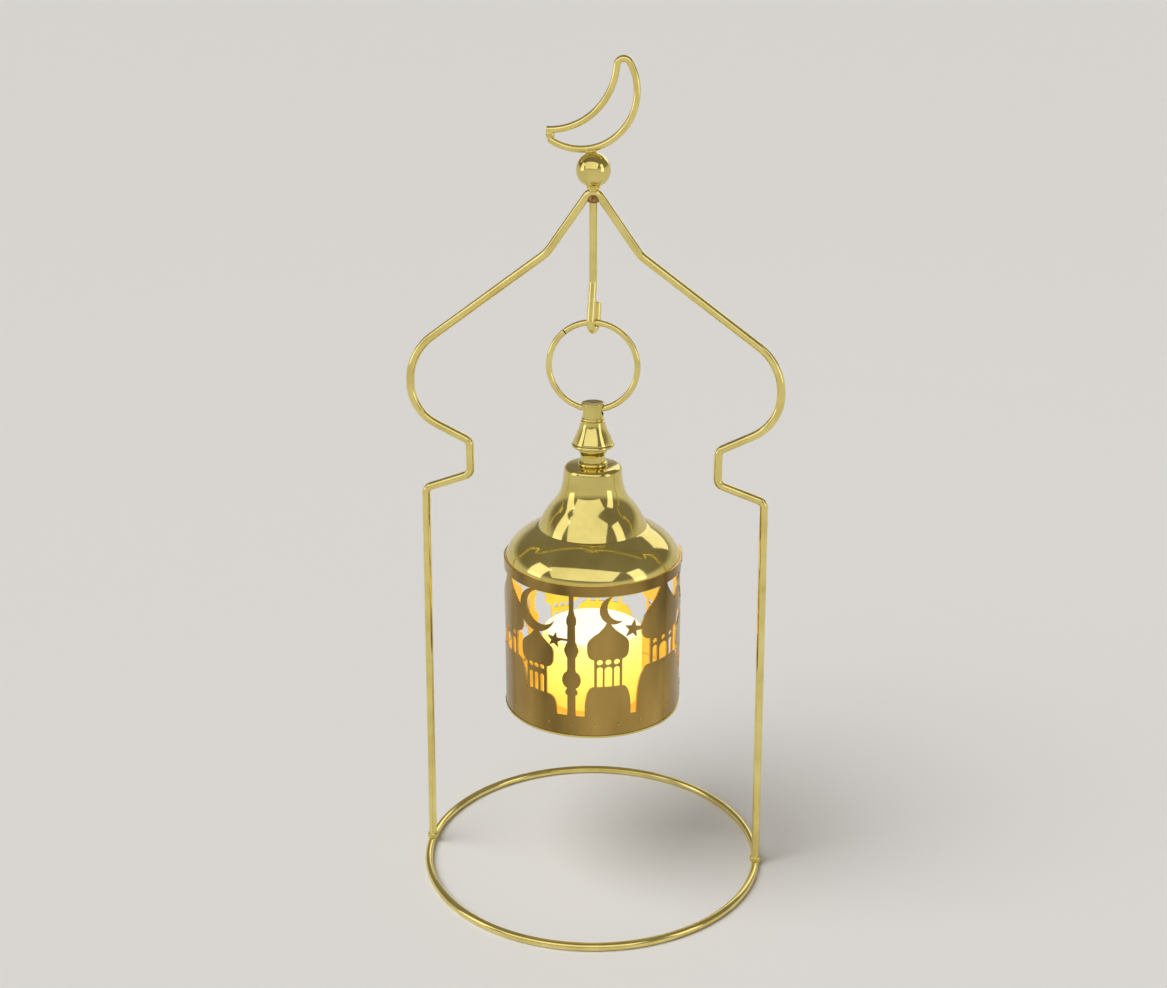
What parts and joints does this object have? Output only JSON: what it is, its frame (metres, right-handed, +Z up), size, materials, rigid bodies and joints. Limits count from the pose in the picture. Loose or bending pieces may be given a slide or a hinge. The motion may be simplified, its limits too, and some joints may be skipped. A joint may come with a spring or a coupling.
{
  "type": "led lantern on wire stand",
  "caption": "Pierced-metal LED lantern that hangs by a ring from a gold wire stand shaped as a domed arch with a ball and crescent on its peak.",
  "frame": {"origin": "centre of the base ring, on the surface that the stand rests on", "axes": "+Z up, the arch stands in the XZ plane and is seen face on from -Y"},
  "size_m": [0.1366, 0.1318, 0.3056],
  "materials": {
    "gold_wire": "polished gold plating on bent wire",
    "gold_turned": "polished gold plating on turned pieces",
    "gold_spun": "polished gold plating on spun sheet",
    "gold_sheet": "satin gold plating on cut and rolled sheet",
    "braze": "brazed joint, brownish",
    "steel": "nickel-plated steel",
    "candle": "translucent wax-like plastic, lit from inside",
    "led_lens": "clear domed lens, lit",
    "white_plastic": "moulded white plastic",
    "black_plastic": "moulded black plastic",
    "board": "solder-masked circuit board"
  },
  "bodies": {
    "stand": {"base_ring": "gold_wire", "arch_frame": "gold_wire", "foot_welds": "braze", "apex_weld": "braze", "finial_collar": "gold_turned", "finial_ball": "gold_turned", "crescent": "gold_wire", "crescent_weld": "braze", "hanger_hook": "gold_wire"},
    "ring": {"hanging_ring": "gold_wire"},
    "lantern": {"finial_knob": "gold_turned", "knob_washer": "gold_turned", "knob_screw": "steel", "screw_washer": "steel", "cap": "gold_spun", "shell": "gold_sheet"},
    "tray": {"base_tray": "gold_spun", "candle_body": "candle", "candle_chassis": "white_plastic", "led": "led_lens", "circuit_board": "board", "coin_cell": "steel", "positive_contact": "steel", "negative_contact": "steel", "switch_body": "steel"},
    "battery_cover": {"battery_cover": "white_plastic"},
    "switch": {"switch_slider": "black_plastic"}
  },
  "joints": [
    {"name": "ring_swing", "type": "hinge", "parent": "stand", "child": "ring", "pos_m": [0, 0, 0.21183], "axis": [0.2079, 0.9781, 0], "range_deg": [-10, 10]},
    {"name": "lantern_swing", "type": "hinge", "parent": "ring", "child": "lantern", "pos_m": [0, 0, 0.18266], "axis": [1, 0, 0], "range_deg": [-60, 60]},
    {"name": "tray_pull", "type": "slide", "parent": "lantern", "child": "tray", "axis": [0, 0, -1], "range_m": [0, 0.045]},
    {"name": "battery_cover_turn", "type": "hinge", "parent": "tray", "child": "battery_cover", "pos_m": [0, 0, 0.0694], "axis": [0, 0, 1], "range_deg": [0, 30]},
    {"name": "switch_slide", "type": "slide", "parent": "tray", "child": "switch", "axis": [1, 0, 0], "range_m": [0, 0.0023]}
  ]
}
